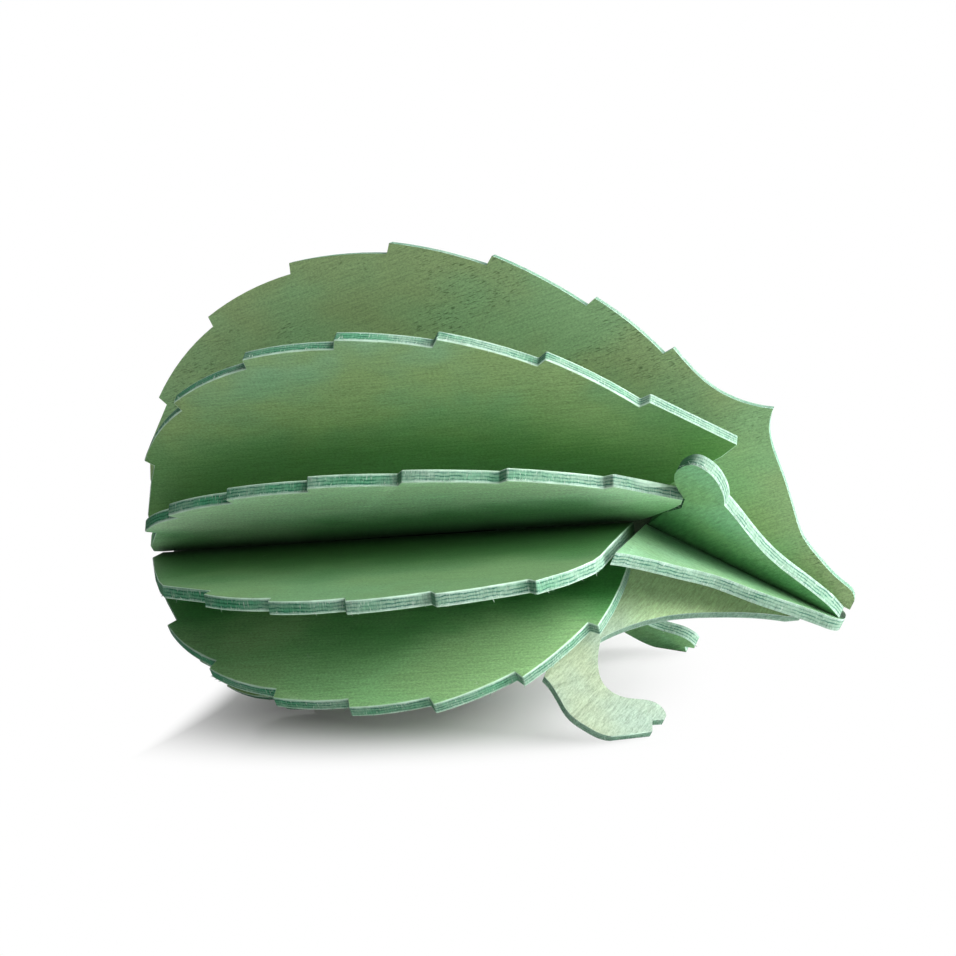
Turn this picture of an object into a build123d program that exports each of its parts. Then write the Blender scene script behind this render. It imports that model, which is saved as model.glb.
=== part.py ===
from build123d import *
import math
import os

# Slot together hedgehog figurine, cut from nine flat plywood plates.
# All lengths are in millimetres and all angles in degrees.
# X runs forward to the nose, Y to the animal's left, and Z up from the floor it stands on.

# Sheet and fit
ply = 1.5
slip = 0.04

# Body star: plates crossing on one level axis
body_length = 57.1
axis_height = 20.1
back_reach = 34.1
shoulder_reach = 29.7
flank_reach = 21.7
side_reach = 31.0
hip_reach = 27.0
belly_reach = 19.8
body_spacing = 30

# Quill teeth along the body edges
quill_step = 1.25
quill_bow = 0.62
quill_bow_shares = [1.0, 0.85, 0.6, 0.5, 0.5, 0.5]
quill_root_share = 0.35

# Head star: plates crossing on a second axis that slopes down to the nose
head_length = 25.2
brow_reach = 18.5
ear_reach = 17.7
cheek_reach = 17.0
head_spacing = 45
head_pitch = 30.7

# Extra length that lets a slot cut run clear through the end of its plate
overrun = 2.0

# Each pair below is a point: its share of the length along the axis, counted from
# the back end of that axis, and its share of the reach, counted out from the axis.

# Upper half of the centre plate
back_tail_shares = [(-0.005, 0.12), (-0.012, 0.27), (-0.002, 0.39)]
back_tip_shares = [(0.034, 0.554), (0.167, 0.815), (0.355, 0.968), (0.567, 1.0),
                   (0.771, 0.924), (0.964, 0.754), (1.106, 0.569)]
brow_shares = [(-0.071, 1.0), (0.024, 0.962), (0.151, 0.951), (0.317, 1.0)]
face_shares = [(0.344, 0.869), (0.464, 0.686), (0.591, 0.500), (0.687, 0.368),
               (0.786, 0.298), (0.913, 0.232), (0.988, 0.195), (1.004, 0.160)]

# Lower half of the centre plate, flat where it rests on the floor
keel_tail_shares = [(0.012, 0.15), (0.018, 0.40)]
keel_tip_shares = [(0.050, 0.625), (0.137, 0.876), (0.275, 1.0)]
keel_front_shares = [(0.584, 1.0), (0.663, 0.935), (0.733, 0.860), (0.803, 0.756),
                     (0.873, 0.587)]
chin_shares = [(0.317, 0.351), (0.500, 0.249), (0.659, 0.162)]

# Shoulder and belly halves share a plate, and so do flank and hip halves
shoulder_tail_shares = [(-0.008, 0.16), (-0.004, 0.23), (0.007, 0.28), (0.031, 0.387)]
shoulder_tip_shares = [(0.039, 0.508), (0.150, 0.778), (0.321, 0.949), (0.512, 1.0),
                       (0.707, 0.963), (0.899, 0.832), (1.074, 0.599)]
shoulder_front_shares = [(1.223, 0.367), (1.190, 0.316)]
belly_tail_shares = [(0.036, 0.39), (0.090, 0.697)]
belly_tip_shares = [(0.150, 0.852), (0.275, 0.990), (0.400, 1.0), (0.545, 1.0),
                    (0.698, 0.940), (0.838, 0.700)]
belly_front_shares = [(0.890, 0.46)]
flank_tail_shares = [(-0.011, 0.145), (-0.003, 0.230)]
flank_tip_shares = [(0.029, 0.493), (0.118, 0.728), (0.267, 0.908), (0.442, 0.995),
                    (0.626, 0.986), (0.819, 0.903), (1.003, 0.700)]
flank_front_shares = [(1.115, 0.415), (1.107, 0.345), (1.090, 0.292), (1.060, 0.224),
                      (1.033, 0.165)]
hip_tail_shares = [(0.031, 0.300)]
hip_tip_shares = [(0.062, 0.481), (0.185, 0.748), (0.337, 0.926), (0.495, 0.996),
                  (0.659, 1.0), (0.820, 0.878), (0.950, 0.620)]
hip_front_shares = [(0.960, 0.565), (0.971, 0.500), (0.978, 0.448), (0.985, 0.390),
                    (0.990, 0.335), (0.994, 0.270)]
side_tail_shares = [(0.003, 0.174), (0.053, 0.377), (0.104, 0.561), (0.130, 0.635)]
side_tip_shares = [(0.248, 0.794), (0.404, 0.945), (0.560, 1.0), (0.721, 0.971),
                   (0.892, 0.880)]
side_front_shares = [(0.941, 0.775), (0.961, 0.706), (0.975, 0.648), (0.982, 0.575),
                     (0.986, 0.441), (0.997, 0.179)]

# Ear, cheek and leg halves of the head plates
ear_rear_shares = [(0.088, 0.316), (0.152, 0.469), (0.150, 0.585)]
ear_lobe_shares = [(0.099, 0.670), (0.071, 0.765), (0.084, 0.905), (0.131, 0.990),
                   (0.180, 0.988), (0.262, 0.890), (0.303, 0.775), (0.312, 0.722)]
ear_edge_shares = [(0.372, 0.650), (0.475, 0.510), (0.611, 0.367), (0.762, 0.277),
                   (0.917, 0.175)]
cheek_rear_shares = [(-0.003, 1.0)]
cheek_edge_shares = [(0.120, 0.810), (0.266, 0.640), (0.429, 0.463), (0.611, 0.371),
                     (0.770, 0.259), (0.940, 0.158)]
cheek_nose_shares = [(0.985, 0.110)]
leg_rear_shares = [(0.008, 0.296), (-0.071, 0.503), (-0.052, 0.674)]
leg_heel_shares = [(0.044, 0.761), (0.115, 0.838), (0.202, 0.908), (0.270, 0.958),
                   (0.317, 0.982)]
leg_sole_shares = [(0.460, 1.0)]
leg_toe_shares = [(0.440, 0.931), (0.484, 0.938), (0.484, 0.915)]
leg_instep_shares = [(0.464, 0.876), (0.417, 0.826), (0.298, 0.785), (0.198, 0.722),
                     (0.123, 0.609), (0.091, 0.507)]
jaw_shares = [(0.179, 0.435), (0.317, 0.355), (0.500, 0.281), (0.659, 0.217),
              (0.774, 0.176)]

# How far from its axis a plate's inner edge stays, so that the plates standing
# in the other directions pass it
body_core = ply / 2 * (1 + math.cos(math.radians(body_spacing)))
body_core = body_core / math.sin(math.radians(body_spacing)) + slip
head_core = ply / 2 * (1 + math.cos(math.radians(head_spacing)))
head_core = head_core / math.sin(math.radians(head_spacing)) + slip

# Where the free slot ends fall along each axis
body_bridge_shares = [0.030, 0.202, 0.374, 0.546, 0.718, 0.890]
head_bridge_shares = [0.119, 0.397, 0.675]
tail_end_share = 0.008
upper_front_share = 0.990
side_front_share = 1.001
belly_front_share = 0.900
flank_front_share = 1.015
ear_start_share = 0.048
ear_end_share = 0.976
leg_start_share = 0.095
jaw_end_share = 0.829
cheek_start_share = 0.044
chin_end_share = 0.750
nose_share = 1.004


def star_plane(start_x, pitch, angle):
    """Plane of a plate: its x runs along the axis, its y outwards at the angle from up."""
    tilt = math.radians(pitch)
    turn = math.radians(angle)
    along = Vector(math.cos(tilt), 0, -math.sin(tilt))
    up = Vector(math.sin(tilt), 0, math.cos(tilt))
    outward = up * math.cos(turn) + Vector(0, -math.sin(turn), 0)
    return Plane(origin=(start_x, 0, axis_height), x_dir=along, z_dir=along.cross(outward))


def body_plane(angle):
    """Plane of a body plate, with its x counted from the tail end of the axis."""
    return star_plane(-body_length / 2, 0, angle)


def head_plane(angle):
    """Plane of a head plate, with its x counted from the front end of the body."""
    return star_plane(body_length / 2, head_pitch, angle)


def scaled(shares, length, reach, side):
    """Sketch points from share pairs, on the upper (1) or lower (-1) side of the axis."""
    return [(along * length, side * out * reach) for along, out in shares]


def on_body(x, y):
    """A point of the head, given along and out from its own axis, in the body's sketch."""
    tilt = math.radians(head_pitch)
    return (
        body_length + x * math.cos(tilt) + y * math.sin(tilt),
        y * math.cos(tilt) - x * math.sin(tilt),
    )


def floor_reach(along):
    """How far out a leg meets the floor, at a distance along the head's axis."""
    tilt = math.radians(head_pitch)
    turn = math.radians(head_spacing)
    height = axis_height - along * math.sin(tilt)
    height = height - ply / 2 * math.sin(turn) * math.cos(tilt)
    return height / (math.cos(turn) * math.cos(tilt))


def leg_points(shares):
    """Sketch points of a leg, where an out share of one lies on the floor."""
    return [
        (along * head_length, -out * floor_reach(along * head_length))
        for along, out in shares
    ]


def straight(*points):
    """Straight lines through the points; gives back the last one."""
    Polyline(*points)
    return points[-1]


def curved(*points):
    """One smooth curve through the points; gives back the last one."""
    Spline(*points)
    return points[-1]


def notch_of(tip):
    """Foot of the small step in front of a quill tip."""
    root = Vector(quill_root_share * body_length, 0)
    tip = Vector(*tip)
    return tip + (root - tip).normalized() * quill_step


def quills(pen, tips, side):
    """The saw toothed edge from the pen through every tip: a step out, then a long bow."""
    for number, tip in enumerate(tips):
        notch = notch_of(tip)
        if number == 0:
            Line(pen, notch)
        else:
            SagittaArc(pen, notch, side * quill_bow * quill_bow_shares[number - 1])
        Line(notch, tip)
        pen = tip
    return pen


def body_half(tail_shares, tip_shares, front_shares, front_end_share, reach, side):
    """Outline of one half of a body plate: tail edge, quills, front edge and core edge."""
    start = (tail_end_share * body_length, side * body_core)
    end = (front_end_share * body_length, side * body_core)
    pen = straight(start, *scaled(tail_shares, body_length, reach, side))
    pen = quills(pen, scaled(tip_shares, body_length, reach, side), side)
    straight(pen, *scaled(front_shares, body_length, reach, side), end, start)


def shoulder_half():
    """Upper half of a shoulder plate."""
    body_half(
        shoulder_tail_shares, shoulder_tip_shares, shoulder_front_shares,
        upper_front_share, shoulder_reach, 1,
    )


def belly_half():
    """Lower half of a shoulder plate, beside the belly on the other side."""
    body_half(
        belly_tail_shares, belly_tip_shares, belly_front_shares,
        belly_front_share, belly_reach, -1,
    )


def flank_half():
    """Upper half of a flank plate."""
    body_half(
        flank_tail_shares, flank_tip_shares, flank_front_shares,
        flank_front_share, flank_reach, 1,
    )


def hip_half():
    """Lower half of a flank plate, over the other side's hip."""
    body_half(
        hip_tail_shares, hip_tip_shares, hip_front_shares,
        upper_front_share, hip_reach, -1,
    )


def side_half(side):
    """One half of the side plate."""
    body_half(
        side_tail_shares, side_tip_shares, side_front_shares,
        side_front_share, side_reach, side,
    )


def ear_half():
    """Upper half of an ear plate: rear edge, ear, neck and long edge down to the nose."""
    start = (ear_start_share * head_length, head_core)
    end = (ear_end_share * head_length, head_core)
    pen = straight(start, *scaled(ear_rear_shares, head_length, ear_reach, 1))
    pen = curved(pen, *scaled(ear_lobe_shares, head_length, ear_reach, 1))
    pen = curved(pen, *scaled(ear_edge_shares, head_length, ear_reach, 1))
    straight(pen, end, start)


def leg_half():
    """Lower half of an ear plate: the other side's leg, its foot on the floor, and jaw."""
    start = (leg_start_share * head_length, -head_core)
    end = (jaw_end_share * head_length, -head_core)
    pen = straight(start, *leg_points(leg_rear_shares))
    pen = curved(pen, *leg_points(leg_heel_shares))
    pen = straight(pen, *leg_points(leg_sole_shares))
    pen = straight(pen, *leg_points(leg_toe_shares))
    pen = curved(pen, *leg_points(leg_instep_shares))
    pen = curved(pen, *leg_points(jaw_shares))
    straight(pen, end, start)


def bridge(start, end, core):
    """The short stretch in which a plate runs through its axis and joins its halves."""
    with Locations(((start + end) / 2, 0)):
        Rectangle(end - start - slip, 2 * core)


def body_bridge(number):
    """Bridge of a body plate, in its own fifth of the axis."""
    bridge(
        body_bridge_shares[number] * body_length,
        body_bridge_shares[number + 1] * body_length,
        body_core,
    )


def head_bridge(number):
    """Bridge of an ear plate, in its own stretch of the head's axis."""
    bridge(
        head_bridge_shares[number] * head_length,
        head_bridge_shares[number + 1] * head_length,
        head_core,
    )


def thicken():
    """Give the sketch half the sheet on each side of its plane."""
    extrude(amount=ply / 2, both=True)


os.makedirs("parts", exist_ok=True)

# Centre plate: back, face, chin and belly in one outline, slotted from tail and nose
with BuildPart() as centre_plate:
    with BuildSketch(body_plane(0)):
        with BuildLine():
            tail_end = tail_end_share * body_length
            lower_tips = scaled(keel_tip_shares, body_length, axis_height, -1)
            brow = scaled(brow_shares, head_length, brow_reach, 1)
            face = scaled(face_shares, head_length, brow_reach, 1)
            chin = scaled(chin_shares, head_length, brow_reach, -1)
            pen = straight(
                (tail_end, -body_core),
                (tail_end, body_core),
                *scaled(back_tail_shares, body_length, back_reach, 1),
            )
            pen = quills(pen, scaled(back_tip_shares, body_length, back_reach, 1), 1)
            pen = curved(pen, *[on_body(*point) for point in brow])
            pen = curved(pen, *[on_body(*point) for point in face])
            pen = straight(
                pen,
                on_body(nose_share * head_length, head_core),
                on_body(chin_end_share * head_length, -head_core),
                *[on_body(*point) for point in reversed(chin)],
            )
            throat = scaled(keel_front_shares, body_length, axis_height, -1)
            pen = curved(pen, *reversed(throat))
            straight(pen, lower_tips[-1])
            pen = straight(
                (tail_end, -body_core),
                *scaled(keel_tail_shares, body_length, axis_height, -1),
            )
            quills(pen, lower_tips, -1)
        make_face()
        Rectangle(
            2 * body_bridge_shares[-1] * body_length, 2 * body_core, mode=Mode.SUBTRACT
        )
        with Locations(Location((body_length, 0), -head_pitch)):
            slot_start = head_bridge_shares[0] * head_length
            slot_end = nose_share * head_length + overrun
            with Locations(((slot_start + slot_end) / 2, 0)):
                Rectangle(slot_end - slot_start, 2 * head_core, mode=Mode.SUBTRACT)
    thicken()
centre_plate.part.label = "centre_plate"
export_step(centre_plate.part, "parts/centre_plate.step")

# Shoulder plates: a shoulder above the axis and the other side's belly below it
with BuildPart() as right_shoulder_plate:
    with BuildSketch(body_plane(body_spacing)):
        with BuildLine():
            shoulder_half()
        make_face()
        with BuildLine():
            belly_half()
        make_face()
        body_bridge(3)
    thicken()
right_shoulder_plate.part.label = "right_shoulder_plate"
export_step(right_shoulder_plate.part, "parts/right_shoulder_plate.step")

with BuildPart() as left_shoulder_plate:
    with BuildSketch(body_plane(-body_spacing)):
        with BuildLine():
            shoulder_half()
        make_face()
        with BuildLine():
            belly_half()
        make_face()
        body_bridge(4)
    thicken()
left_shoulder_plate.part.label = "left_shoulder_plate"
export_step(left_shoulder_plate.part, "parts/left_shoulder_plate.step")

# Flank plates: a flank above the axis and the other side's hip below it
with BuildPart() as right_flank_plate:
    with BuildSketch(body_plane(2 * body_spacing)):
        with BuildLine():
            flank_half()
        make_face()
        with BuildLine():
            hip_half()
        make_face()
        body_bridge(1)
    thicken()
right_flank_plate.part.label = "right_flank_plate"
export_step(right_flank_plate.part, "parts/right_flank_plate.step")

with BuildPart() as left_flank_plate:
    with BuildSketch(body_plane(-2 * body_spacing)):
        with BuildLine():
            flank_half()
        make_face()
        with BuildLine():
            hip_half()
        make_face()
        body_bridge(2)
    thicken()
left_flank_plate.part.label = "left_flank_plate"
export_step(left_flank_plate.part, "parts/left_flank_plate.step")

# Side plate: level, and the same to both sides
with BuildPart() as side_plate:
    with BuildSketch(body_plane(3 * body_spacing)):
        with BuildLine():
            side_half(1)
        make_face()
        with BuildLine():
            side_half(-1)
        make_face()
        body_bridge(0)
    thicken()
side_plate.part.label = "side_plate"
export_step(side_plate.part, "parts/side_plate.step")

# Ear plates: an ear above the head's axis and the other side's leg and jaw below it
with BuildPart() as right_ear_plate:
    with BuildSketch(head_plane(head_spacing)):
        with BuildLine():
            ear_half()
        make_face()
        with BuildLine():
            leg_half()
        make_face()
        head_bridge(0)
    thicken()
right_ear_plate.part.label = "right_ear_plate"
export_step(right_ear_plate.part, "parts/right_ear_plate.step")

with BuildPart() as left_ear_plate:
    with BuildSketch(head_plane(-head_spacing)):
        with BuildLine():
            ear_half()
        make_face()
        with BuildLine():
            leg_half()
        make_face()
        head_bridge(1)
    thicken()
left_ear_plate.part.label = "left_ear_plate"
export_step(left_ear_plate.part, "parts/left_ear_plate.step")

# Cheek plate: one outline around the nose, slotted from behind
with BuildPart() as cheek_plate:
    with BuildSketch(head_plane(2 * head_spacing)):
        with BuildLine():
            start_x = cheek_start_share * head_length
            nose_end = (nose_share * head_length, 0)
            rear = scaled(cheek_rear_shares, head_length, cheek_reach, 1)
            edge = scaled(cheek_edge_shares, head_length, cheek_reach, 1)
            pen = straight((start_x, 0), *rear)
            pen = curved(pen, *edge)
            curved(pen, *scaled(cheek_nose_shares, head_length, cheek_reach, 1), nose_end)
            mirror(about=Plane.XZ)
        make_face()
        slot_end = head_bridge_shares[-1] * head_length
        with Locations((slot_end / 2, 0)):
            Rectangle(slot_end, 2 * head_core, mode=Mode.SUBTRACT)
    thicken()
cheek_plate.part.label = "cheek_plate"
export_step(cheek_plate.part, "parts/cheek_plate.step")
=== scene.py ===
# %% [markdown]
# # A slot together hedgehog in green stained plywood
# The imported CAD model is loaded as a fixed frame. Its nine flat plates already have their
# right shape, so this lesson adds what the eye sees on them: rubbed arrises, a plywood
# material that knows which way each plate lies, torn fibres where the saw left the wood,
# and then a floor, lamps and a camera. Blender works in metres, and so does the frame.
# Each step first says what the thing is on the real object, then how it could be made
# and why it is made this way.

# %% Load the frame and remember its box
import bpy
import math
from mathutils import Matrix, Vector


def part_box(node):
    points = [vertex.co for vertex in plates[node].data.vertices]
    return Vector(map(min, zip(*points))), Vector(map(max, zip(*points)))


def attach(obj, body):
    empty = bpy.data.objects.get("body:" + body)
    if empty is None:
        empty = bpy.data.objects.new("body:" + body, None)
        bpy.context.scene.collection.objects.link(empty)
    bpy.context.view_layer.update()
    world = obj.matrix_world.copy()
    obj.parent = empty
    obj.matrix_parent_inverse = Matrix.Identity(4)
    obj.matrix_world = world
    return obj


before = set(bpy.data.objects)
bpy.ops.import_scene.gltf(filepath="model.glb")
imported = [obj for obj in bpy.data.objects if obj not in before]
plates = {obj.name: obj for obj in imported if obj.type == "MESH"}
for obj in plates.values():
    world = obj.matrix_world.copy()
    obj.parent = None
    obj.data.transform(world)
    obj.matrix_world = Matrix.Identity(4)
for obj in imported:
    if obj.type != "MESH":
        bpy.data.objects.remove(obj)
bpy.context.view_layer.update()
print("plates:", sorted(plates))

# %% [markdown]
# ## Where each plate lies
# On the real figurine the body plates fan out around one level axis, and the head plates
# around a second one that slopes down to the nose. A plate's own frame has x along its
# axis, y outwards from the slots and z through the sheet. The loaded plates are not turned
# objects, though: they all share one frame. They could be unwrapped by hand instead, but
# one table of angles says the same in nine lines, and with it grain and plies follow the
# wood. The table also holds how each plate took its stain. The strengths were balanced
# against the photograph, so part of what sets two plates apart here was light there.

# %% The two axes
MM = 0.001
SHEET = 1.5 * MM
AXIS_HEIGHT = 20.1 * MM
BODY_LENGTH = 57.1 * MM
BODY_START = -BODY_LENGTH / 2
HEAD_START = BODY_LENGTH / 2
HEAD_PITCH = 30.7
print("body axis", BODY_LENGTH / MM, "mm long,", AXIS_HEIGHT / MM, "mm above the floor")

# %% How each plate lies and how it took its stain
# Angle from upright towards the animal's right, on the head's axis or not, turn of the grain in
# degrees, stain, its strength, which partly stands for painted light, the share of painted
# shading towards the slots and how far out that reaches in millimetres
COLUMNS = ("angle", "on_head", "grain_turn", "stain", "strength", "slot_shading", "slot_shading_reach")
PLATES = {name: dict(zip(COLUMNS, row)) for name, row in {
    "centre_plate": (0, False, 13, "olive", 0.78, 0.1, 20),
    "right_shoulder_plate": (30, False, 0, "moss", 0.84, 0.85, 32),
    "left_shoulder_plate": (-30, False, 0, "moss", 0.84, 0.85, 32),
    "right_flank_plate": (60, False, 0, "sage", 1.38, 0.75, 19),
    "left_flank_plate": (-60, False, 0, "leaf", 1.08, 0.85, 24),
    "side_plate": (90, False, 0, "green", 0.52, 0.8, 30),
    "right_ear_plate": (45, True, 65, "mint", 0.78, 0.75, 12),
    "left_ear_plate": (-45, True, 78, "pale", 0.86, 0.85, 17),
    "cheek_plate": (90, True, 0, "frost", 0.56, 0.5, 11),
}.items()}
print("plates on the head:", sum(row["on_head"] for row in PLATES.values()))


# %% Each plate's own frame as a matrix
def plate_frame(angle, on_head):
    """Matrix whose columns are the plate's x, y and z, placed where its axis starts."""
    tilt = math.radians(HEAD_PITCH if on_head else 0)
    turn = math.radians(angle)
    along = Vector((math.cos(tilt), 0, -math.sin(tilt)))
    up = Vector((math.sin(tilt), 0, math.cos(tilt)))
    outward = up * math.cos(turn) + Vector((0, -math.sin(turn), 0))
    placed = Matrix((along, outward, along.cross(outward))).transposed().to_4x4()
    placed.translation = (HEAD_START if on_head else BODY_START, 0, AXIS_HEIGHT)
    return placed


FRAMES = {name: plate_frame(row["angle"], row["on_head"]) for name, row in PLATES.items()}
for name, placed in FRAMES.items():
    low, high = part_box(name)
    print(name, "normal", [round(part, 2) for part in placed.col[2][:3]],
          "size in mm", [round((b - a) / MM, 1) for a, b in zip(low, high)])

# %% [markdown]
# ## Two helpers for node trees
# A finish can be wired by hand in the editor, but then nobody can read why a value was
# chosen. Here it is written down: one function adds any node, sets its options, fills or
# links its inputs and hands back an output, so a material reads from top to bottom.
# Colours are picked as sRGB hex values, as seen on a screen, and turned linear in one
# place, because nodes calculate with light.


# %% Colours as light
def linear(hex_colour, strength=1.0):
    """Linear RGBA from an sRGB hex colour, times a strength."""
    parts = [int(hex_colour[i:i + 2], 16) / 255 for i in (1, 3, 5)]
    return [strength * (c / 12.92 if c <= 0.04045 else ((c + 0.055) / 1.055) ** 2.4)
            for c in parts] + [1]


print("half grey on the screen is", round(linear("#808080")[0], 3), "as light")


# %% Any node, with its settings and links
def add(tree, kind, inputs=None, output=0, **settings):
    """Add one node; an input given as a socket is linked, any other value is written."""
    made = tree.nodes.new(kind)
    for name, value in settings.items():
        setattr(made, name, value)
    for key, value in (inputs or {}).items():
        if isinstance(value, bpy.types.NodeSocket):
            tree.links.new(value, made.inputs[key])
        else:
            made.inputs[key].default_value = value
    return made.outputs[output] if made.outputs else made


# Kinds of node that come back often. A range's inputs are value, from low, from high, to
# low and to high; a colour mix has its share at 0 and its colours at 6 and 7.
MATH, VECTOR, NOISE = "ShaderNodeMath", "ShaderNodeVectorMath", "ShaderNodeTexNoise"
RANGE, SOFT = "ShaderNodeMapRange", {"interpolation_type": "SMOOTHSTEP"}
MIX, COLOURS = "ShaderNodeMix", {"data_type": "RGBA", "output": 2}
print("short names for:", MATH, VECTOR, NOISE, RANGE, MIX)

# %% [markdown]
# ## Green stained birch plywood
# The real sheet is 1.5 mm birch plywood: four pale plies and three darker glue lines. It was
# brushed with a thin green stain, so the broad faces show soft blotches, faint long fibres,
# fine speckle and short dark pores, all matt. The sawn edges soaked up more, and towards the
# tail end they get painted shade, as the light falls from the front; the saw left fine marks
# across the plies. A photo of a board would need unwrapped plates and would repeat on all nine,
# and a plain colour would look like card. So the wood is made of noises, each with its real
# size in millimetres.
# One recipe serves all plates, and the table above varies it. Each cell below adds its
# own nodes to all nine materials.

# %% The stains and the plies
# Each stain has its cool and its warm blotches, its tone of painted shading towards the slots
# (darker, on the pale stain lighter) and its pores
STAINS = {
    "olive": ("#93BD88", "#99B57F", "#5F8F4F", "#4A6A42"),
    "green": ("#8ABF88", "#8AB97E", "#3E8038", "#44693F"),
    "moss": ("#90BD93", "#92B076", "#5C8E4C", "#44693F"),
    "leaf": ("#8CC184", "#91BD82", "#2F7F36", "#44693F"),
    "sage": ("#A1CCA6", "#9FC39C", "#4C904C", "#4A7249"),
    "mint": ("#90D09A", "#91C888", "#42954E", "#4A8256"),
    "frost": ("#A0D6A8", "#9CCD9A", "#459050", "#4A8256"),
    "pale": ("#A0B6A5", "#A6B598", "#B8D89C", "#5F8763"),
}
OUTER_PLY, INNER_PLY, GLUE = "#95AFA0", "#85A48F", "#386A59"
# Soaked stain that also darkens towards the tail as painted shade, painted shade on the risers
# and in the slots, torn fibres, and rubbed arrises that also carry a painted highlight
SOAK_AND_SHADE, PAINTED_RISER_SHADE, PAINTED_SLOT_SHADE, TORN, RUBBED_AND_HIGHLIT = "#8AE0BC", "#27603F", "#102416", "#BFCCC0", "#C6E4CF"
PLIES = [(0.0, OUTER_PLY), (0.18, OUTER_PLY), (0.23, GLUE), (0.27, GLUE),
         (0.32, INNER_PLY), (0.43, INNER_PLY), (0.48, GLUE), (0.52, GLUE),
         (0.57, INNER_PLY), (0.68, INNER_PLY), (0.73, GLUE), (0.77, GLUE),
         (0.82, OUTER_PLY), (1.0, OUTER_PLY)]
print("glue lines:", sum(tone == GLUE for _, tone in PLIES) // 2, "stains:", len(STAINS))


# %% An empty material for each plate
def blank_material(name):
    """A new material with an empty node tree."""
    made = bpy.data.materials.new(name)
    made.use_nodes = True
    made.node_tree.nodes.clear()
    return made


TREES = {}
for name in PLATES:
    wood = blank_material("stained_birch_plywood_" + name)
    slots = plates[name].data.materials
    slots.clear()
    slots.append(wood)
    TREES[name] = wood.node_tree
print("plywood materials:", len(TREES))

# %% [markdown]
# ### Knowing where a point is in its plate
# Broad face, sawn edge and the arris between them look different on the real sheet.
# They could be told apart by slots or painted masks on the mesh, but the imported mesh
# stays as it is, so the shader finds out. Object coordinates go through a Mapping node
# of type Texture, which undoes the plate's placing, so x, y and z come out in
# millimetres in the plate's own frame. The direction of the surface then tells face from
# edge, and the narrow bevel, where neither is fully reached, is the arris.


# %% A point's place and the surface's direction
def places(tree, name, row):
    """Sockets that say where a point lies in its plate and which surface it is on."""
    coords = add(tree, "ShaderNodeTexCoord", output="Object")
    normal = coords.node.outputs["Normal"]
    local = add(tree, "ShaderNodeMapping", {
        "Vector": coords, "Location": FRAMES[name].translation,
        "Rotation": FRAMES[name].to_euler(), "Scale": (MM, MM, MM)}, vector_type="TEXTURE")
    grain = add(tree, "ShaderNodeVectorRotate", {
        "Vector": local, "Angle": -math.radians(row["grain_turn"])}, rotation_type="Z_AXIS")
    along = add(tree, "ShaderNodeSeparateXYZ", {0: local})
    across, through = along.node.outputs[1], along.node.outputs[2]

    # Distance from the slots; the centre plate's axis bends down where the head begins
    bend = math.tan(math.radians(HEAD_PITCH)) if name == "centre_plate" else 0.0
    past = add(tree, MATH, {0: along, 1: BODY_LENGTH / MM}, operation="SUBTRACT")
    past = add(tree, MATH, {0: past, 1: 0.0}, operation="MAXIMUM")
    outward = add(tree, MATH, {0: past, 1: bend, 2: across}, operation="MULTIPLY_ADD")
    outward = add(tree, MATH, {0: outward}, operation="ABSOLUTE")

    # Cosines: flat is 1 on a broad face and 0 on an edge, ahead is -1 where it faces back
    facing, ahead = [add(tree, VECTOR, {0: normal, 1: FRAMES[name].col[axis][:3]},
                         output="Value", operation="DOT_PRODUCT") for axis in (2, 0)]
    flat = add(tree, MATH, {0: facing}, operation="ABSOLUTE")
    face = add(tree, RANGE, {0: flat, 1: 0.45, 2: 0.9}, **SOFT)
    rising = add(tree, RANGE, {0: flat, 1: 0.15, 2: 0.5}, **SOFT)
    falling = add(tree, RANGE, {0: flat, 1: 0.85, 2: 0.99, 3: 1.0, 4: 0.0}, **SOFT)
    arris = add(tree, MATH, {0: rising, 1: falling}, operation="MULTIPLY")
    return {"local": local, "grain": grain, "along": along, "through": through,
            "outward": outward, "ahead": ahead, "face": face, "arris": arris}


PLACES = {name: places(TREES[name], name, row) for name, row in PLATES.items()}
print("nodes in each plywood so far:", len(TREES["side_plate"].nodes))

# %% [markdown]
# ### Patterns with their real sizes
# Blotches, fibres, pores and saw marks each have a size of their own on the real sheet.
# They could be painted, or taken from pictures of wood, but those end somewhere and show
# a seam. A noise has no end, and its scale is one over the size of a grain, so the table
# gives sizes in millimetres along x, y and z. FLAT marks a pattern that is the same all
# through the sheet. The fourth dimension of the noise gives each plate another part of
# the board.

# %% The table of patterns
# Size of one grain, detail, roughness, and whether it turns with the grain
FLAT = math.inf
PATTERNS = {
    # Brushed stain dries in clouds one to two centimetres wide
    "blotch": ((22, 14, 20), 3.0, 0.55, False),
    # A birch fibre is 0.03 mm wide, too fine to show: bundles are drawn 0.22 mm wide
    "fibre": ((4.5, 0.22, FLAT), 5.0, 0.7, True),
    # Fibres that end at the surface are specks of 0.3 by 0.2 mm
    "speckle": ((0.3, 0.18, FLAT), 4.0, 0.75, True),
    # A birch pore is a dark stroke of about 1 by 0.1 mm
    "pore": ((0.9, 0.125, FLAT), 1.0, 0.5, True),
    # Pores come in crowds about a centimetre wide
    "crowd": ((11, 8.3, FLAT), 2.0, 0.5, False),
    # Plies give way to the fibres beside them and waver every 1.7 mm
    "waver": ((1.7, 1.7, 1.7), 4.0, 0.7, False),
    # The saw leaves marks 0.17 mm apart that run 1 mm through the sheet
    "hatch": ((0.17, 0.17, 1.0), 4.0, 0.7, False),
    # End grain drinks the stain in patches of 7 mm
    "soak": ((7, 7, 2.5), 3.0, 0.6, False),
    # A deeper tick of the saw is 0.14 mm wide and 0.7 mm long
    "tick": ((0.14, 0.14, 0.7), 2.0, 0.5, False),
    # Scratches curl around within 3 mm, and only in places 3 mm wide
    "curl": ((2.9, 2.9, FLAT), 2.0, 0.5, False),
    "rare": ((3.3, 3.3, FLAT), 1.0, 0.5, False),
    # Rubbing and dried glue come and go every 2 mm
    "fading": ((2, 2, 0.67), 3.0, 0.6, False),
}
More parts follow.
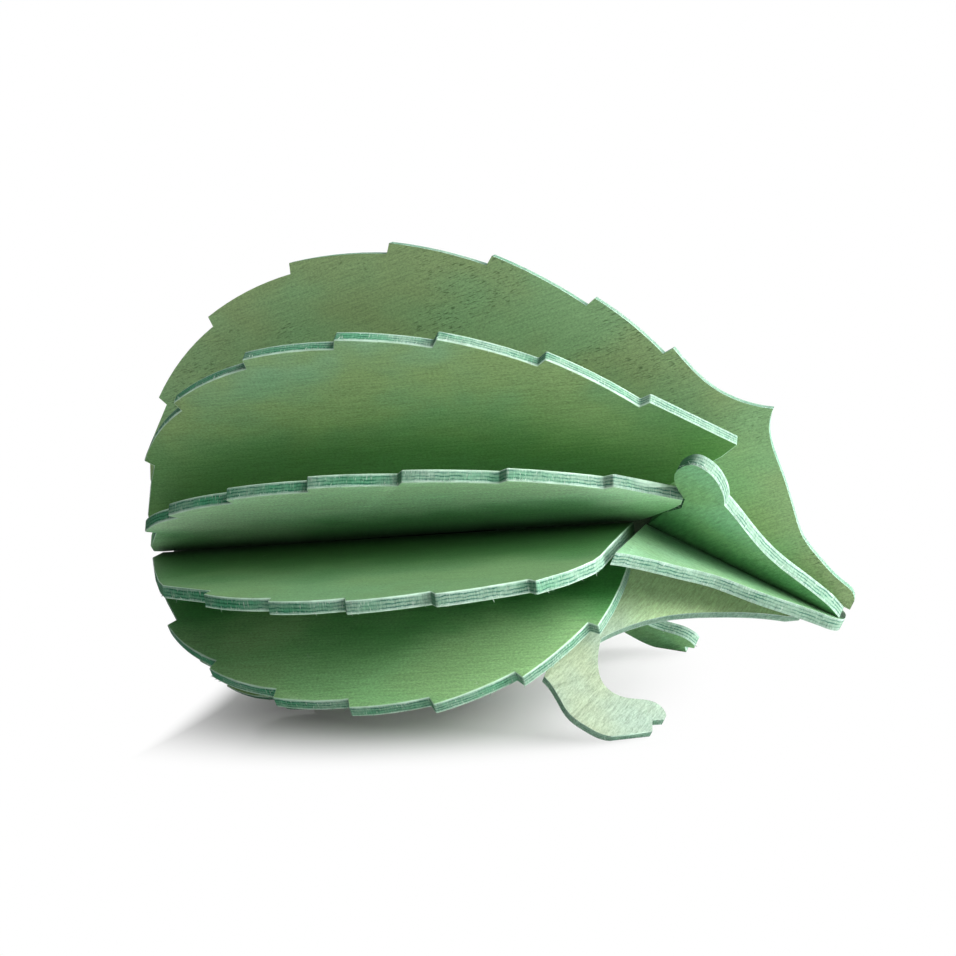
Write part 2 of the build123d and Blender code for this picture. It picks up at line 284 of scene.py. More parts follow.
# The head's sheets show shorter, coarser bundles
HEAD_FIBRE = (1.4, 0.28, FLAT)
# Most of any noise lies between these two values
MOST = {1: 0.3, 2: 0.7}
print("patterns:", len(PATTERNS))


# %% One noise for each pattern
def wood_noises(tree, place, row, seed):
    """One noise for each row of the table, from 0 to 1."""
    made = {}
    for number, (name, (size, detail, rough, turned)) in enumerate(PATTERNS.items()):
        if name == "fibre" and row["on_head"]:
            size = HEAD_FIBRE
        spread = add(tree, VECTOR, {
            0: place["grain" if turned else "local"], 1: [1 / side for side in size]},
            operation="MULTIPLY")
        made[name] = add(tree, NOISE, {
            "Vector": spread, "W": seed + number, "Scale": 1.0, "Detail": detail,
            "Roughness": rough}, noise_dimensions="4D")
    return made


SEED_STEP = 10.0
NOISES = {name: wood_noises(TREES[name], PLACES[name], row, SEED_STEP * number)
          for number, (name, row) in enumerate(PLATES.items())}
print("nodes in each plywood so far:", len(TREES["side_plate"].nodes))

# %% [markdown]
# ### The broad face
# A real face is a thin stain over wood that shows through. One mixed noise would give mud, so
# the colour is built in layers: the brushed stain with its blotches, a tone of painted shading
# towards the slots, painted shade in the slots themselves, and on top of that fibres, speckle,
# pores and a few pale scratches. The dark is mostly shadow in the photograph. The lamps alone
# leave the slots too light, so the shader paints the shade in.


# %% Blotches, painted shading towards the slots and painted shade in them
def tones(row):
    """A plate's cool and warm blotches, pooled tone and pores, at its own strength."""
    return [linear(tone, row["strength"]) for tone in STAINS[row["stain"]]]


def stain_with_painted_shade(tree, place, noise, row):
    """Stain on the broad face, with painted shading towards the slots and painted shade in
    them. On the small head all is drawn closer in.
    """
    cool, warm, slot_shading_tone, _ = tones(row)
    spread = 0.45 if row["on_head"] else 1.0
    outward = place["outward"]
    share = add(tree, RANGE, {0: noise["blotch"], 1: 0.40, 2: 0.60}, **SOFT)
    colour = add(tree, MIX, {0: share, 6: cool, 7: warm}, **COLOURS)

    # The border of the painted shading tone wanders in and out by some millimetres
    uneven = add(tree, RANGE, {0: noise["blotch"], **MOST, 4: 8.0 * spread}, **SOFT)
    uneven = add(tree, MATH, {0: uneven, 1: outward}, operation="ADD")
    share = add(tree, RANGE, {0: uneven, 1: 0.5 * row["slot_shading_reach"], 2: row["slot_shading_reach"],
                              3: row["slot_shading"], 4: 0.0}, **SOFT)
    colour = add(tree, MIX, {0: share, 6: colour, 7: slot_shading_tone}, **COLOURS)

    # Painted shade in the slots, except at the open nose of the centre plate
    before_nose = add(tree, RANGE, {0: place["along"], 1: 60.0, 2: 70.0, 3: 1.0, 4: 0.15},
                      **SOFT)
    share = add(tree, RANGE, {0: outward, 1: 1.5 * spread, 2: 7.0 * spread, 3: 0.9, 4: 0.0},
                **SOFT)
    share = add(tree, MATH, {0: share, 1: before_nose}, operation="MULTIPLY")
    return add(tree, MIX, {0: share, 6: colour, 7: linear(PAINTED_SLOT_SHADE)}, **COLOURS)


STAINED_AND_SHADED = {name: stain_with_painted_shade(TREES[name], PLACES[name], NOISES[name], row)
           for name, row in PLATES.items()}
print("nodes in each plywood so far:", len(TREES["side_plate"].nodes))


# %% Fibres, specks, pores and scratches
def grained(tree, noise, row, colour):
    """The stained colour with the wood in it, and the height of the grain for the bump."""
    # Fibres and speckle lighten and darken it; the head's sheets have coarser fibres
    depth, fleck = (0.22, 0.16) if row["on_head"] else (0.14, 0.24)
    fibre = add(tree, RANGE, {0: noise["fibre"], **MOST, 3: 1 - depth, 4: 1 + depth}, **SOFT)
    speckle = add(tree, RANGE, {0: noise["speckle"], **MOST, 3: -fleck, 4: fleck}, **SOFT)
    value = add(tree, MATH, {0: fibre, 1: speckle}, operation="ADD")
    colour = add(tree, "ShaderNodeHueSaturation", {"Value": value, "Color": colour})

    # Short dark pores that come in crowds, clearest on the upright centre plate
    most = 0.4 if row["angle"] else 1.0
    crowd = add(tree, RANGE, {0: noise["crowd"], 1: 0.42, 2: 0.60, 3: 0.04, 4: most}, **SOFT)
    pores = add(tree, RANGE, {0: noise["pore"], 1: 0.58, 2: 0.68}, **SOFT)
    pores = add(tree, MATH, {0: pores, 1: crowd}, operation="MULTIPLY")
    share = add(tree, MATH, {0: pores, 1: 0.7}, operation="MULTIPLY")
    colour = add(tree, MIX, {0: share, 6: colour, 7: tones(row)[3]}, **COLOURS)

    # A few pale scratches: the thin bands where one noise is near its middle
    curl = add(tree, MATH, {0: noise["curl"], 1: 0.5}, operation="SUBTRACT")
    curl = add(tree, MATH, {0: curl}, operation="ABSOLUTE")
    thin = add(tree, RANGE, {0: curl, 1: 0.0, 2: 0.012, 3: 0.5, 4: 0.0}, **SOFT)
    rare = add(tree, RANGE, {0: noise["rare"], 1: 0.70, 2: 0.76}, **SOFT)
    share = add(tree, MATH, {0: thin, 1: rare}, operation="MULTIPLY")
    colour = add(tree, MIX, {0: share, 6: colour, 7: linear(TORN)}, **COLOURS)

    relief = add(tree, MATH, {0: noise["fibre"], 1: 0.5}, operation="MULTIPLY")
    relief = add(tree, MATH, {0: relief, 1: pores}, operation="SUBTRACT")
    return colour, relief


FACES = {name: grained(TREES[name], NOISES[name], row, STAINED_AND_SHADED[name])
         for name, row in PLATES.items()}
print("nodes in each plywood so far:", len(TREES["side_plate"].nodes))

# %% [markdown]
# ### The sawn edge
# The saw cuts through all the plies, and the edge shows them as stripes. A Wave texture has
# stripes of one width only, so a Color Ramp runs through the sheet instead and gives each ply
# and glue line its own. Noise makes the lines waver and fade. Stain that soaked in multiplies
# the colour below it, so the glue lines still show through. The short risers between the quills
# get painted shade where they face the tail, and edges deep in the fan take the face's colour
# with its painted shade.


# %% Plies and glue lines
def ply_stripes(tree, place, noise):
    """Colour of the plies, and how deep in the sheet a point lies, from 0 to 1."""
    waver = add(tree, RANGE, {0: noise["waver"], 1: 0.2, 2: 0.8, 3: -0.12, 4: 0.12}, **SOFT)
    depth = add(tree, MATH, {0: place["through"], 1: waver}, operation="ADD")
    depth = add(tree, MATH, {0: depth, 1: MM / SHEET, 2: 0.5}, operation="MULTIPLY_ADD")
    colour = add(tree, "ShaderNodeValToRGB", {0: depth})
    ramp = colour.node.color_ramp
    while len(ramp.elements) < len(PLIES):
        ramp.elements.new(0.5)
    for element, (stop, tone) in zip(ramp.elements, PLIES):
        element.position = stop
        element.color = linear(tone)
    share = add(tree, RANGE, {0: noise["fading"], 1: 0.42, 2: 0.62, 4: 0.7}, **SOFT)
    colour = add(tree, MIX, {0: share, 6: colour, 7: linear(INNER_PLY)}, **COLOURS)
    return colour, depth


STRIPES = {name: ply_stripes(TREES[name], PLACES[name], NOISES[name]) for name in PLATES}
print("nodes in each plywood so far:", len(TREES["side_plate"].nodes))


# %% Stain that soaked in, and painted shade towards the tail
def soaked_and_shaded_edge(tree, place, noise, row, colour, depth):
    """The plies under soaked stain in patches, least on the head, with painted shade that
    darkens them towards the body's tail end.
    """
    # Painted shade: on the body the edges darken towards the tail end, away from the light in
    # front
    tail = -0.1
    if not row["on_head"]:
        tail = add(tree, RANGE, {0: place["along"], 1: 0.0, 2: 60.0, 3: 0.9, 4: 0.1}, **SOFT)
    soak = add(tree, RANGE, {0: noise["soak"], **MOST, 3: -0.45, 4: 0.45}, **SOFT)
    soak = add(tree, MATH, {0: soak, 1: tail}, operation="ADD", use_clamp=True)

    # The inner plies drink more than the outer ones
    middle = add(tree, MATH, {0: depth, 1: 0.5}, operation="SUBTRACT")
    middle = add(tree, MATH, {0: middle}, operation="ABSOLUTE")
    inner = add(tree, RANGE, {0: middle, 1: 0.26, 2: 0.38, 3: 1.0, 4: 0.35}, **SOFT)
    share = add(tree, MATH, {0: soak, 1: inner}, operation="MULTIPLY")
    return add(tree, MIX, {0: share, 6: colour, 7: linear(SOAK_AND_SHADE)}, blend_type="MULTIPLY",
               **COLOURS)


SOAKED_AND_SHADED_EDGES = {
    name: soaked_and_shaded_edge(TREES[name], PLACES[name], NOISES[name], row, *STRIPES[name])
    for name, row in PLATES.items()}
print("nodes in each plywood so far:", len(TREES["side_plate"].nodes))

# %% Saw marks, painted shade on the risers and the edges deep in the fan
# Cosine at which a surface faces the tail fully, and the one at which it no longer does
TAILWARD = {1: -0.95, 2: -0.4}


def sawn_edge(tree, place, noise, row, colour, face_colour):
    """Colour of the edge, and the share of it that takes the face's painted shade near the
    slots.
    """
    # Saw marks across the plies: dark and pale ticks, and a finer hatching
    share = add(tree, RANGE, {0: noise["tick"], 1: 0.60, 2: 0.70, 4: 0.5}, **SOFT)
    colour = add(tree, MIX, {0: share, 6: colour, 7: linear(GLUE)}, **COLOURS)
    share = add(tree, RANGE, {0: noise["tick"], 1: 0.30, 2: 0.40, 3: 0.5, 4: 0.0}, **SOFT)
    colour = add(tree, MIX, {0: share, 6: colour, 7: linear(TORN)}, **COLOURS)
    value = add(tree, RANGE, {0: noise["hatch"], **MOST, 3: 0.72, 4: 1.12}, **SOFT)
    colour = add(tree, "ShaderNodeHueSaturation", {"Value": value, "Color": colour})

    # Painted shade on risers that face the tail, away from the light; edges deep in the fan
    # take the face's colour and its painted shade
    share = add(tree, RANGE, {0: place["ahead"], **TAILWARD, 3: 0.85, 4: 0.0}, **SOFT)
    colour = add(tree, MIX, {0: share, 6: colour, 7: linear(PAINTED_RISER_SHADE)}, **COLOURS)
    front = 3.0 if row["on_head"] else 62.0
    near_slots = add(tree, RANGE, {0: place["outward"], 1: 4.0, 2: 9.0, 3: 0.9, 4: 0.0}, **SOFT)
    behind = add(tree, RANGE, {0: place["along"], 1: front, 2: front + 5.0, 3: 1.0, 4: 0.0},
                 **SOFT)
    slot_shaded_edge = add(tree, MATH, {0: near_slots, 1: behind}, operation="MULTIPLY")
    colour = add(tree, MIX, {0: slot_shaded_edge, 6: colour, 7: face_colour}, **COLOURS)
    return colour, slot_shaded_edge


EDGES = {name: sawn_edge(TREES[name], PLACES[name], NOISES[name], row, SOAKED_AND_SHADED_EDGES[name],
                         FACES[name][0]) for name, row in PLATES.items()}
print("nodes in each plywood so far:", len(TREES["side_plate"].nodes))

# %% [markdown]
# ### Putting the plywood together
# Face and edge meet at the arris, which handling has rubbed pale in places; it also carries a
# painted highlight, none deep in the fan and little where it faces the tail, away from the
# light. The grain stands up by less than a tenth of a millimetre, too little for geometry, so a
# Bump node breaks up the light. A coat or a low roughness would make varnish of it: bare
# stained wood is matt, so the roughness is high and the specular level low.

# %% Face, edge and rubbed, highlighted arris as one surface
EDGE_ROUGHNESS, FACE_ROUGHNESS, MATT_SPECULAR = 0.8, 0.6, 0.2
GRAIN_HEIGHT, BUMP_STRENGTH = 0.08 * MM, 0.8


def plywood(tree, place, noise, face, edge):
    """Green stained birch plywood, sawn to shape; matt, with grain, plies and saw marks."""
    (face_colour, face_relief), (edge_colour, slot_shaded_edge) = face, edge
    colour = add(tree, MIX, {0: place["face"], 6: edge_colour, 7: face_colour}, **COLOURS)

    # Rubbed pale in patches, plus a painted highlight: none deep in the fan, little where the
    # arris faces the tail, away from the light
    rubbed_and_highlit = add(tree, RANGE, {0: noise["fading"], 1: 0.35, 2: 0.60, 3: 1.0, 4: 0.6}, **SOFT)
    rubbed_and_highlit = add(tree, MATH, {0: rubbed_and_highlit, 1: place["arris"]}, operation="MULTIPLY")
    seen = add(tree, MATH, {0: 1.0, 1: slot_shaded_edge}, operation="SUBTRACT")
    rubbed_and_highlit = add(tree, MATH, {0: rubbed_and_highlit, 1: seen}, operation="MULTIPLY")
    lit_side = add(tree, RANGE, {0: place["ahead"], **TAILWARD, 3: 0.1, 4: 1.0}, **SOFT)
    rubbed_and_highlit = add(tree, MATH, {0: rubbed_and_highlit, 1: lit_side}, operation="MULTIPLY")
    colour = add(tree, MIX, {0: rubbed_and_highlit, 6: colour, 7: linear(RUBBED_AND_HIGHLIT)}, **COLOURS)

    height = add(tree, MIX, {0: place["face"], 2: noise["hatch"], 3: face_relief})
    bump = add(tree, "ShaderNodeBump", {
        "Height": height, "Strength": BUMP_STRENGTH, "Distance": GRAIN_HEIGHT})
    rough = add(tree, RANGE, {0: place["face"], 3: EDGE_ROUGHNESS, 4: FACE_ROUGHNESS}, **SOFT)
    surface = add(tree, "ShaderNodeBsdfPrincipled", {
        "Base Color": colour, "Roughness": rough, "Specular IOR Level": MATT_SPECULAR,
        "Normal": bump})
    add(tree, "ShaderNodeOutputMaterial", {0: surface})


for name in PLATES:
    plywood(TREES[name], PLACES[name], NOISES[name], FACES[name], EDGES[name])
    print(name, "plywood,", len(TREES[name].nodes), "nodes")

# %% [markdown]
# ## Rubbed arrises
# Real plates never meet the light with a perfectly sharp edge. A Bevel node in the
# shader would bend only the light, so a Bevel modifier rounds the outline itself and
# catches a thin line of light. The loaded plates are loose triangles, so a Weld modifier
# joins them first, without touching the mesh. Hardened normals keep the faces flat.

# %% A narrow bevel on every plate
ARRIS = 0.17 * MM
JOIN = 0.001 * MM
SHARP_DEGREES = 50
for plate in plates.values():
    weld = plate.modifiers.new("join the triangles", "WELD")
    weld.merge_threshold = JOIN
    bevel = plate.modifiers.new("arris", "BEVEL")
    bevel.width = ARRIS
    bevel.segments = 2
    bevel.limit_method = "ANGLE"
    bevel.angle_limit = math.radians(SHARP_DEGREES)
    bevel.harden_normals = True
depsgraph = bpy.context.evaluated_depsgraph_get()
print("faces of the side plate:", len(plates["side_plate"].data.polygons), "->",
      len(plates["side_plate"].evaluated_get(depsgraph).data.polygons))

# %% [markdown]
# ## Torn fibres along the lower arrises
# A saw tears a fringe of fibres where its teeth leave the sheet, and the photograph
# shows it along the lower rims. Bump cannot change an outline, and hair is no mesh. So a
# geometry nodes tree walks every arris on one face of a plate, keeps crowds of points
# and puts a thin splinter on each. The splinters are paler than the face, because broken
# fibres took little stain.


# %% Material of the fibres
def torn_birch_fibres():
    """Torn birch fibres: matt and paler than the face, in patches of about 1 mm."""
    made = blank_material("torn_birch_fibres")
    tree = made.node_tree
    coords = add(tree, "ShaderNodeTexCoord", output="Object")
    patch = add(tree, NOISE, {"Vector": coords, "Scale": 1 / (1.1 * MM), "Detail": 2.0})
    share = add(tree, RANGE, {0: patch, 1: 0.35, 2: 0.65}, **SOFT)
    colour = add(tree, MIX, {0: share, 6: linear("#89B098"), 7: linear("#BBCBBD")}, **COLOURS)
    surface = add(tree, "ShaderNodeBsdfPrincipled", {
        "Base Color": colour, "Roughness": EDGE_ROUGHNESS,
        "Specular IOR Level": MATT_SPECULAR})
    add(tree, "ShaderNodeOutputMaterial", {0: surface})
    return made


FIBRES = torn_birch_fibres()
print("made", FIBRES.name)

# %% [markdown]
# ### The tree that grows the fringe
# Mesh to Curve keeps only the sharp edges that lie on the wanted face, and Curve to
# Points spaces points along them. A random value plus a slow noise, compared with the
# wanted share, leaves crowds and gaps, as a blunt tooth would. Splinters could be drawn
# one by one, but the tree needs only sizes: each one is an input with a name, and the
# seed is fixed, so the fringe comes out the same each time.

# %% The tree and its named inputs
INPUTS = {"Origin": "Vector", "Normal": "Vector", "Outward": "Vector", "Half Sheet": "Float",
          "Join": "Float", "Inner": "Float", "Clearance": "Float", "Spacing": "Float",
          "Length": "Float", "Thickness": "Float", "Share": "Float", "Seed": "Int",
          "Arris": "Float"}
FRINGE = bpy.data.node_groups.new("torn fringe", "GeometryNodeTree")
FRINGE.interface.new_socket("Geometry", in_out="INPUT", socket_type="NodeSocketGeometry")
for name, kind in INPUTS.items():
    FRINGE.interface.new_socket(name, in_out="INPUT", socket_type="NodeSocket" + kind)
FRINGE.interface.new_socket("Geometry", in_out="OUTPUT", socket_type="NodeSocketGeometry")
SOCKETS = {item.name: item.identifier for item in FRINGE.interface.items_tree
           if item.in_out == "INPUT"}
given = add(FRINGE, "NodeGroupInput").node.outputs
print("inputs:", ", ".join(SOCKETS))

# %% Points along the arrises of one face
# An arris turns by more than SHARP, in radians, and lies past this share of half the sheet
SHARP, AT_SURFACE = 1.0, 0.9
position = add(FRINGE, "GeometryNodeInputPosition")
angle = add(FRINGE, "GeometryNodeInputMeshEdgeAngle")
offset = add(FRINGE, VECTOR, {0: position, 1: given["Origin"]}, operation="SUBTRACT")
height, reach = [add(FRINGE, VECTOR, {0: offset, 1: given[name]}, output="Value",
                     operation="DOT_PRODUCT") for name in ("Normal", "Outward")]
sharp = add(FRINGE, MATH, {0: angle, 1: SHARP}, operation="GREATER_THAN")
surface = add(FRINGE, MATH, {0: given["Half Sheet"], 1: AT_SURFACE}, operation="MULTIPLY")
wanted = add(FRINGE, MATH, {0: height, 1: surface}, operation="GREATER_THAN")
wanted = add(FRINGE, MATH, {0: wanted, 1: sharp}, operation="MULTIPLY")
joined = add(FRINGE, "GeometryNodeMergeByDistance", {
    0: given["Geometry"], "Distance": given["Join"]})
curve = add(FRINGE, "GeometryNodeMeshToCurve", {0: joined, "Selection": wanted})
points = add(FRINGE, "GeometryNodeCurveToPoints", {
    0: curve, "Length": given["Spacing"]}, mode="LENGTH")
# The bevel takes the sharp corner away, so each root sinks in below it
sunk = add(FRINGE, MATH, {0: given["Arris"], 1: -1.0}, operation="MULTIPLY")
sunk = add(FRINGE, VECTOR, {0: given["Normal"], "Scale": sunk}, operation="SCALE")
rooted = add(FRINGE, "GeometryNodeSetPosition", {0: points, "Offset": sunk})
print("nodes in the tree so far:", len(FRINGE.nodes))

# %% Which points keep a splinter
# Crowds of fibres 2.2 mm wide, the reach of a few teeth
CROWD = 2.2 * MM
crowd = add(FRINGE, NOISE, {
    "Vector": position, "W": given["Seed"], "Scale": 1 / CROWD}, noise_dimensions="4D")
chance = add(FRINGE, "FunctionNodeRandomValue", {"Seed": given["Seed"]}, output=1)
chance = add(FRINGE, MATH, {0: chance, 1: crowd}, operation="ADD")
limit = add(FRINGE, MATH, {0: given["Share"], 1: 0.5}, operation="ADD")
kept = add(FRINGE, MATH, {0: chance, 1: limit}, operation="LESS_THAN")
# None near the floor and none near the slots
level = add(FRINGE, "ShaderNodeSeparateXYZ", {0: position}, output=2)
level = add(FRINGE, MATH, {0: level, 1: given["Clearance"]}, operation="GREATER_THAN")
reach = add(FRINGE, MATH, {0: reach}, operation="ABSOLUTE")
reach = add(FRINGE, MATH, {0: reach, 1: given["Inner"]}, operation="GREATER_THAN")
for rule in (level, reach):
    kept = add(FRINGE, MATH, {0: kept, 1: rule}, operation="MULTIPLY")
print("nodes in the tree so far:", len(FRINGE.nodes))

# %% A splinter on every point that is kept
# Splinters lie along the arris, lean away from it by up to LEAN, in radians, and differ
# in size down to a quarter
LEAN, SMALLEST = 1.1, 0.25
tangent, upright = [points.node.outputs[name] for name in ("Tangent", "Rotation")]
splinter = add(FRINGE, "GeometryNodeMeshCone", {
    "Vertices": 4, "Radius Top": 0.0, "Radius Bottom": given["Thickness"],
    "Depth": given["Length"]})
along = add(FRINGE, "FunctionNodeAlignRotationToVector", {
    "Rotation": upright, "Vector": tangent}, axis="Z")
tilt = add(FRINGE, "FunctionNodeRandomValue", {
    0: (-LEAN, -LEAN, 0.0), 1: (LEAN, LEAN, math.tau), "Seed": given["Seed"]},
    data_type="FLOAT_VECTOR")
turned = add(FRINGE, "FunctionNodeRotateRotation", {0: along, 1: tilt}, rotation_space="LOCAL")
size = add(FRINGE, "FunctionNodeRandomValue", {
    2: SMALLEST, 3: 1.0, "Seed": given["Seed"]}, output=1)
placed = add(FRINGE, "GeometryNodeInstanceOnPoints", {
    "Points": rooted, "Selection": kept, "Instance": splinter, "Rotation": turned,
    "Scale": size})
real = add(FRINGE, "GeometryNodeRealizeInstances", {0: placed})
dressed = add(FRINGE, "GeometryNodeSetMaterial", {0: real, "Material": FIBRES})
add(FRINGE, "NodeGroupOutput", {0: dressed})
print("nodes in the tree:", len(FRINGE.nodes))

# %% [markdown]
# ### Growing and baking the fringe
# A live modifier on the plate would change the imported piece. So the tree runs on a copy,
# and the splinters are baked to a plain mesh of their own that rides with the body. The
# upright centre plate and the plate of the near leg show no torn fibres in the
# photograph, so they get none.

# %% Sizes of the fringe
# The distance from the slots within which nothing grows, on the head and on the body
HEAD_INNER, BODY_INNER = 5 * MM, 18 * MM
SPLINTERS = {"Half Sheet": SHEET / 2, "Join": JOIN, "Arris": ARRIS, "Clearance": 1.2 * MM,
             "Spacing": 0.22 * MM, "Length": 0.8 * MM, "Thickness": 0.09 * MM, "Share": 0.55}
SMOOTH_RIMS = ("centre_plate", "left_ear_plate")
print("splinters", SPLINTERS["Length"] / MM, "mm long, on", len(PLATES) - len(SMOOTH_RIMS),
      "plates")


# %% Grow a fringe on each plate's face that looks down
def fringe(name, seed):
    """Baked splinters of one plate, as a new object that rides with the body."""
    normal = FRAMES[name].col[2].xyz
    if normal.z > 0.01:
        normal = -normal
    inner = HEAD_INNER if PLATES[name]["on_head"] else BODY_INNER
    values = {**SPLINTERS, "Origin": FRAMES[name].translation, "Normal": normal,
              "Outward": FRAMES[name].col[1].xyz, "Inner": inner, "Seed": seed}
    copied = plates[name].data.copy()
    grown = bpy.data.objects.new("growing", copied)
    bpy.context.collection.objects.link(grown)
    modifier = grown.modifiers.new("fringe", "NODES")
    modifier.node_group = FRINGE
    for key, value in values.items():
        modifier[SOCKETS[key]] = value
    evaluated = grown.evaluated_get(bpy.context.evaluated_depsgraph_get())
    mesh = bpy.data.meshes.new_from_object(evaluated)
    bpy.data.objects.remove(grown)
    bpy.data.meshes.remove(copied)
    baked = bpy.data.objects.new("torn_fringe_" + name, mesh)
    bpy.context.collection.objects.link(baked)
    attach(baked, "root")
    return baked


for number, name in enumerate(PLATES):
    if name not in SMOOTH_RIMS:
        baked = fringe(name, number)
        print(baked.name, len(baked.data.polygons), "faces")

# %% [markdown]
# ## The floor and the backdrop
# The figurine was photographed on a glossy white sheet that fades into a plain white
# background. A floor that only catches shadows would lose its faint mirror, and one lit
# to white would burn out the shadow. So this floor is a matt white with a weak mirror in
# it and turns to plain white away from the figurine. Only the camera sees that white: a
# Light Path node gives all other rays a pale sheet that lights the plates from below.

# %% Floor material
WHITE = (1, 1, 1, 1)
SEEN_SHEET, BOUNCING_SHEET = "#D5D5D5", "#F2F2F2"
MIRROR_SHARE, MIRROR_ROUGHNESS = 0.06, 0.12
# A faint glow, and the glow at which white is plain white
DIM, FULL = 0.05, 1.0
# The floor fades to plain white between two distances: outwards on an oval twice as long
# as wide, and lengthwise past the tail and below the head
OVAL, OVAL_SQUEEZE, OVAL_SHIFT = (11 * MM, 28 * MM), (0.5, 1.0, 0.0), (-3 * MM, -4 * MM, 0.0)
TAIL_END, NOSE_END = (-30 * MM, -23 * MM), (2 * MM, 36 * MM)


def white_acrylic_sheet():
    """Glossy white acrylic sheet: soft shadow, faint mirror image, plain white far out."""
    made = blank_material("glossy_white_acrylic_sheet")
    tree = made.node_tree
    sheet = add(tree, "ShaderNodeBsdfDiffuse", {"Color": linear(SEEN_SHEET)})
    bounce = add(tree, "ShaderNodeBsdfDiffuse", {"Color": linear(BOUNCING_SHEET)})
    glow = add(tree, "ShaderNodeEmission", {"Color": WHITE, "Strength": DIM})
    lit = add(tree, "ShaderNodeAddShader", {0: sheet, 1: glow})
    mirror = add(tree, "ShaderNodeBsdfGlossy", {"Color": WHITE, "Roughness": MIRROR_ROUGHNESS})
    polished = add(tree, "ShaderNodeMixShader", {0: MIRROR_SHARE, 1: lit, 2: mirror})

    coords = add(tree, "ShaderNodeTexCoord", output="Object")
    oval = add(tree, VECTOR, {0: coords, 1: OVAL_SQUEEZE, 2: OVAL_SHIFT},
               operation="MULTIPLY_ADD")
    reach = add(tree, VECTOR, {0: oval}, output="Value", operation="LENGTH")
    side = add(tree, "ShaderNodeSeparateXYZ", {0: coords})
    round_it = add(tree, RANGE, {0: reach, 1: OVAL[0], 2: OVAL[1]}, **SOFT)
    tail = add(tree, RANGE, {0: side, 1: TAIL_END[0], 2: TAIL_END[1], 3: 1.0, 4: 0.0}, **SOFT)
    nose = add(tree, RANGE, {0: side, 1: NOSE_END[0], 2: NOSE_END[1]}, **SOFT)
    far = add(tree, MATH, {0: tail, 1: nose}, operation="MAXIMUM")
    far = add(tree, MATH, {0: far, 1: round_it}, operation="MAXIMUM")
    plain = add(tree, "ShaderNodeEmission", {"Color": WHITE, "Strength": FULL})
    swept = add(tree, "ShaderNodeMixShader", {0: far, 1: polished, 2: plain})
    seen = add(tree, "ShaderNodeLightPath", output="Is Camera Ray")
    mixed = add(tree, "ShaderNodeMixShader", {0: seen, 1: bounce, 2: swept})
    add(tree, "ShaderNodeOutputMaterial", {0: mixed})
    return made


ACRYLIC = white_acrylic_sheet()
print("made", ACRYLIC.name)

# %% The floor
bpy.ops.mesh.primitive_plane_add(size=6.0, location=(0, 0, 0))
floor = bpy.context.object
floor.name = "floor"
floor.data.materials.append(ACRYLIC)
print("floor", [round(side, 1) for side in floor.dimensions], "m")

# %% A white backdrop that hardly lights the object
world = bpy.data.worlds.new("white backdrop")
bpy.context.scene.world = world
world.use_nodes = True
sky = world.node_tree
sky.nodes.clear()
camera_ray = add(sky, "ShaderNodeLightPath", output="Is Camera Ray")
glossy_ray = camera_ray.node.outputs["Is Glossy Ray"]
shown = add(sky, MATH, {0: camera_ray, 1: glossy_ray}, operation="MAXIMUM")
dim, bright = [add(sky, "ShaderNodeBackground", {"Color": WHITE, "Strength": strength})
               for strength in (DIM, FULL)]
backdrop = add(sky, "ShaderNodeMixShader", {0: shown, 1: dim, 2: bright})
add(sky, "ShaderNodeOutputWorld", {0: backdrop})
print("world", world.name)

# %% [markdown]
# ## The lamps
# The faces that look towards the nose are the brightest in the photograph and the fans
# fall off to black inside, so the light comes from in front of the animal. A bright sky
# would fill the fans, so the sky is almost dark. Four soft boxes stand in front instead,
# the strongest one low, and a weak one hangs overhead. Their powers were balanced
# against the brightness of the plates.

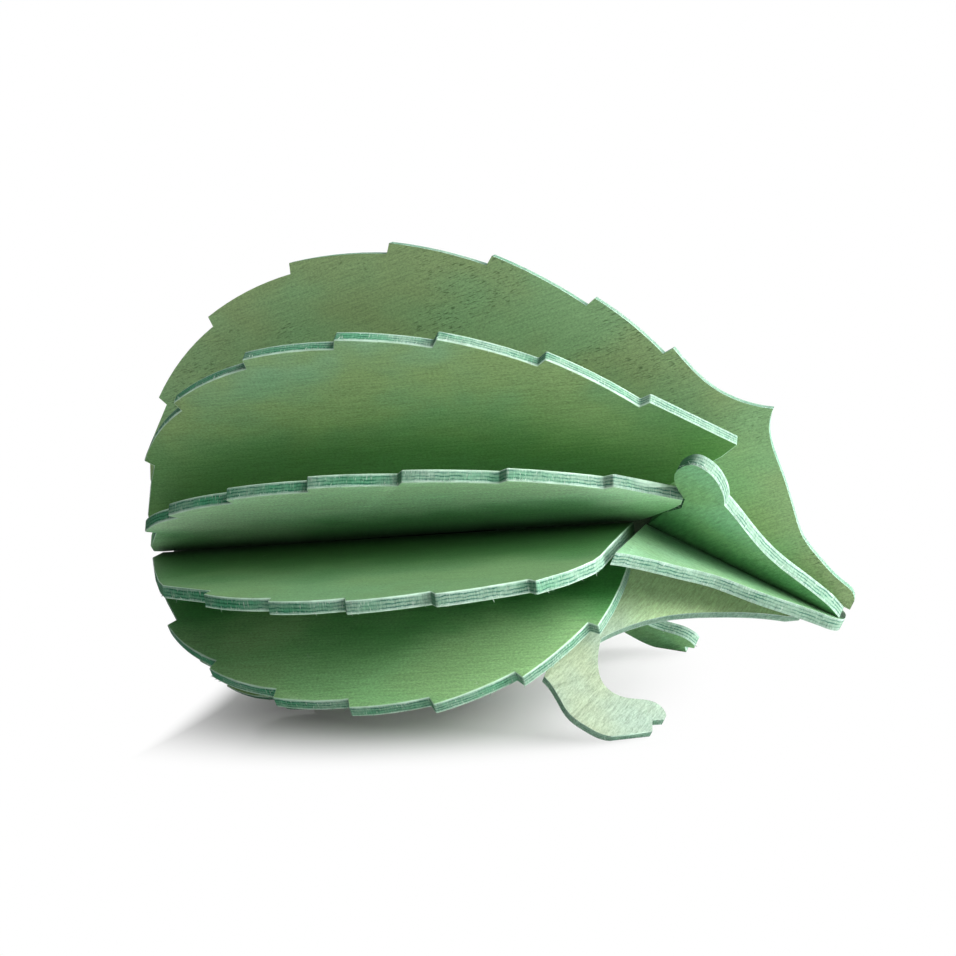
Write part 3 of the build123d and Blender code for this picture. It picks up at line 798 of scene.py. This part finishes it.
# %% Soft boxes
# Place and size in metres, power in watts
LAMPS = {
    "overhead soft box": ((0, 0, 0.6), 0.5, 0.65),
    "front right soft box": ((0.42, -0.28, 0.35), 0.3, 1.9),
    "front soft box": ((0.4, 0, 0.42), 0.3, 1.3),
    "low front soft box": ((0.5, 0, 0.12), 0.25, 4.1),
    "front left soft box": ((0.42, 0.3, 0.35), 0.35, 1.35),
}
BODY_MIDDLE = Vector((10 * MM, 0, 20 * MM))
for name, (place, size, power) in LAMPS.items():
    data = bpy.data.lights.new(name, "AREA")
    data.shape = "SQUARE"
    data.size = size
    data.energy = power
    lamp = bpy.data.objects.new(name, data)
    lamp.location = place
    lamp.rotation_euler = (BODY_MIDDLE - lamp.location).to_track_quat("-Z", "Y").to_euler()
    bpy.context.collection.objects.link(lamp)
    print(name, round((BODY_MIDDLE - lamp.location).length, 2), "m away,", power, "W")

# %% [markdown]
# ## The camera
# The photograph was taken from the animal's right, a little ahead of its shoulder and
# looking slightly down. A camera can be placed by eye, but here the size of the object
# depends on it. So its place, three angles and focal length in pixels come from fitting
# the outlines of the plates to the photograph.

# %% Camera at the photograph's place
YAW, PITCH, ROLL = [math.radians(angle) for angle in (-14.64, 10.53, -6.87)]
STAND = (65.3 * MM, -209.27 * MM, 66.67 * MM)
FOCAL_PIXELS, FRAME_PIXELS = 1919.6, 956
SENSOR_WIDTH = 36
forward = Vector((math.sin(YAW) * math.cos(PITCH), math.cos(YAW) * math.cos(PITCH),
                  -math.sin(PITCH)))
level = Vector((math.cos(YAW), -math.sin(YAW), 0))
upright = level.cross(forward)
right = level * math.cos(ROLL) + upright * math.sin(ROLL)
top = upright * math.cos(ROLL) - level * math.sin(ROLL)
lens = bpy.data.cameras.new("camera")
lens.sensor_width = SENSOR_WIDTH
lens.lens = FOCAL_PIXELS / FRAME_PIXELS * SENSOR_WIDTH
lens.clip_start = 10 * MM
camera = bpy.data.objects.new("camera", lens)
placed = Matrix((right, top, -forward)).transposed().to_4x4()
placed.translation = STAND
camera.matrix_world = placed
bpy.context.collection.objects.link(camera)
bpy.context.scene.camera = camera
bpy.context.scene.view_settings.view_transform = "Standard"
print("lens", round(lens.lens, 1), "mm, aimed from", [round(part, 3) for part in STAND])
